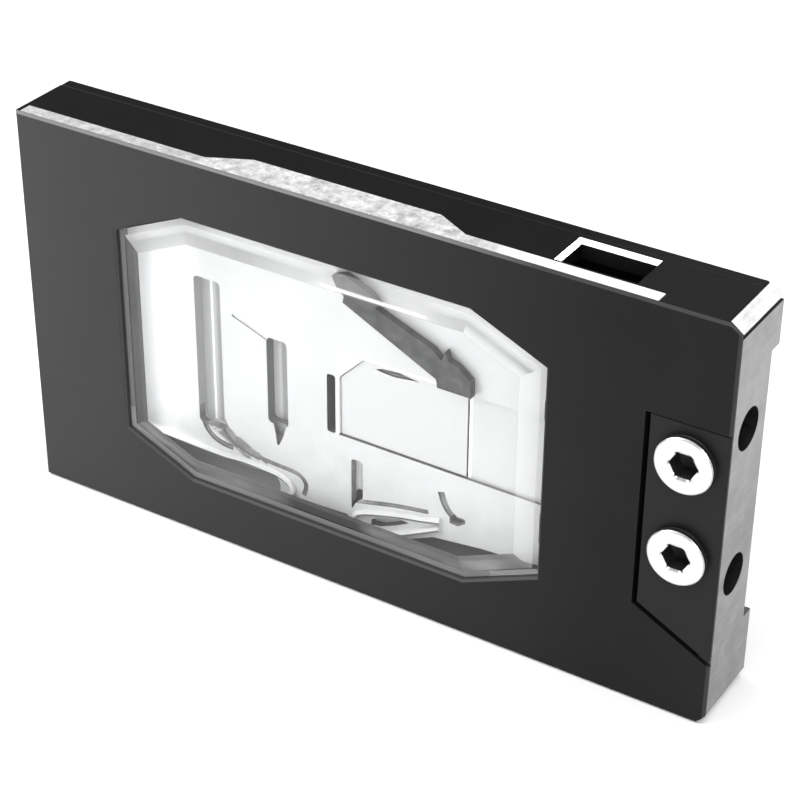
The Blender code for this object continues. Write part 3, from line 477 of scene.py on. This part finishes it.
def turned(name, rings, count, point, ends):
    """Closed skin over rings of count points. rings hold functions of the turn t (0..1) giving (radius, depth),
    point turns (radius, depth, angle) into a place, and ends are the depths of the two centre points."""
    bm_ = bmesh.new()
    rows = []
    for ring_ in rings:
        row = []
        for i in range(count):
            t = i / count
            radius, depth = ring_(t)
            row.append(bm_.verts.new(point(radius, depth, 2 * math.pi * t)))
        rows.append(row)
    for a_, b_ in zip(rows, rows[1:]):
        for i in range(count):
            j = (i + 1) % count
            bm_.faces.new((a_[i], a_[j], b_[j], b_[i]))
    if ends is None:
        for i in range(count):
            j = (i + 1) % count
            bm_.faces.new((rows[-1][i], rows[-1][j], rows[0][j], rows[0][i]))
    else:
        for row, depth in ((rows[0], ends[0]), (rows[-1], ends[1])):
            tip = bm_.verts.new(point(0.0, depth, 0.0))
            for i in range(count):
                bm_.faces.new((row[i], row[(i + 1) % count], tip))
    bmesh.ops.recalc_face_normals(bm_, faces=bm_.faces)
    mesh_ = bpy.data.meshes.new(name)
    bm_.to_mesh(mesh_)
    bm_.free()
    mesh_.shade_smooth()
    mesh_.set_sharp_from_angle(angle=math.radians(32))
    obj_ = bpy.data.objects.new(name, mesh_)
    scene.collection.objects.link(obj_)
    return obj_


def circle(radius, depth):
    return lambda t: (radius, depth)


def hexagon(flats, depth):
    def at(t):
        a_ = (t * 360.0) % 60.0 - 30.0
        return flats / 2.0 / math.cos(math.radians(a_)), depth
    return at


def thread(radius, height, pitch, depth, turns=1.0):
    return lambda t: (radius - height * tri(depth / pitch - t * turns), depth)


PORT_X, PORT_Z = 239.0, (90.3, 58.7)
for word, pz in zip(("upper", "lower"), PORT_Z):
    rings = [hexagon(7.8, 3.2), hexagon(7.8, 3.05), hexagon(7.8, -2.1), hexagon(7.95, -2.3), circle(4.95, -2.8),
             circle(5.6, -2.8), circle(8.55, -2.8), circle(8.78, -2.74), circle(8.97, -2.62), circle(9.08, -2.45)]
    def knurl(depth, low):
        return lambda t: (9.2 - low * tri(t * 48.0), depth)
    rings += [knurl(-2.38, 0.0), knurl(-2.2, 0.26), knurl(-0.85, 0.26), knurl(-0.68, 0.0), circle(9.1, -0.5),
              circle(8.9, -0.32), circle(8.35, -0.32), circle(8.3, -0.4), circle(8.3, -1.85), circle(6.3, -1.85),
              circle(6.28, -1.5), circle(5.95, -1.3)]
    d = -1.1
    while d < 6.0:
        rings.append(thread(6.28, 0.55, 1.337, d))
        d += 1.337 / 6.0
    rings += [circle(5.7, 6.3), circle(5.4, 6.58)]
    plug = turned("plug_" + word, rings, 144, lambda r_, y_, a_: put(PORT_X + r_ * math.cos(a_), y_, pz + r_ * math.sin(a_)),
                  (3.9, 6.58))
    plug.data.materials.append(MATERIALS["plug_nickel"])
    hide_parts("port_plug_" + word)
    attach(plug, "root")

for number, pz in enumerate((99.6, 49.3), 1):
    rings = [circle(6.62, 236.2), circle(6.62, 247.0)]
    d = 246.9
    while d > 236.3:
        rings.append(thread(6.5, 0.6, 1.337, d))
        d -= 1.337 / 6.0
    insert = turned("port_thread_%d" % number, rings, 96,
                    lambda r_, x_, a_: put(x_, 11.7 + r_ * math.cos(a_), pz + r_ * math.sin(a_)), None)
    insert.data.materials.append(MATERIALS["black_acetal"])
    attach(insert, "root")


def soften(node, width, angle=35.0):
    """Small rounded edges on a node, as modifiers."""
    obj_ = frame["nodes"][node]
    weld = obj_.modifiers.new("weld", "WELD")
    weld.merge_threshold = 0.00001
    bev = obj_.modifiers.new("edges", "BEVEL")
    bev.width = width
    bev.segments = 2
    bev.limit_method = "ANGLE"
    bev.angle_limit = math.radians(angle)
    bev.use_clamp_overlap = True
    bev.harden_normals = False


for node, width in (("light_diffuser", 0.00012), ("end_plate", 0.0002), ("rear_plate", 0.0003),
                    ("thermal_pad_inner", 0.0002)):
    soften(node, width)

# The jet plate fits its pocket closely.
fit = frame["nodes"]["jet_plate"].modifiers.new("fit", "DISPLACE")
fit.mid_level = 0.0
fit.strength = 0.00038

# ------------------------------------------------------------ floor, lights
bm = bmesh.new()
bmesh.ops.create_grid(bm, x_segments=1, y_segments=1, size=6.0)
mesh = bpy.data.meshes.new("floor")
bm.to_mesh(mesh)
bm.free()
floor = bpy.data.objects.new("floor", mesh)
scene.collection.objects.link(floor)
fm = Nodes("floor")
fm.set(Base__Color=grey(0.86), Roughness=0.7)
mesh.materials.append(fm.mat)


def area(name, at, to, size, power, size_y=None, color=(1, 1, 1)):
    data = bpy.data.lights.new(name, "AREA")
    data.shape = "RECTANGLE"
    data.size = size
    data.size_y = size_y or size
    data.energy = power
    data.color = color
    obj = bpy.data.objects.new(name, data)
    scene.collection.objects.link(obj)
    at, to = Vector(at), Vector(to)
    obj.matrix_world = Matrix.Translation(at) @ (to - at).to_track_quat("-Z", "Y").to_matrix().to_4x4()
    return obj


area("key", (-0.46, -0.42, 0.42), (-0.02, 0, 0.05), 0.4, 3.6)
area("fill", (0.8, -1.05, 0.5), (-0.04, 0, 0.06), 0.5, 6.5)
area("back_right", (0.8, 1.08, 0.72), (0.12, 0, 0.13), 0.5, 7.0)
area("overhead", (0.1, -0.3, 1.9), (0.05, 0, 0), 2.4, 56.0)

world = bpy.data.worlds.new("world")
scene.world = world
world.use_nodes = True
world.node_tree.nodes["Background"].inputs["Color"].default_value = (0.9, 0.9, 0.9, 1)
world.node_tree.nodes["Background"].inputs["Strength"].default_value = 0.2
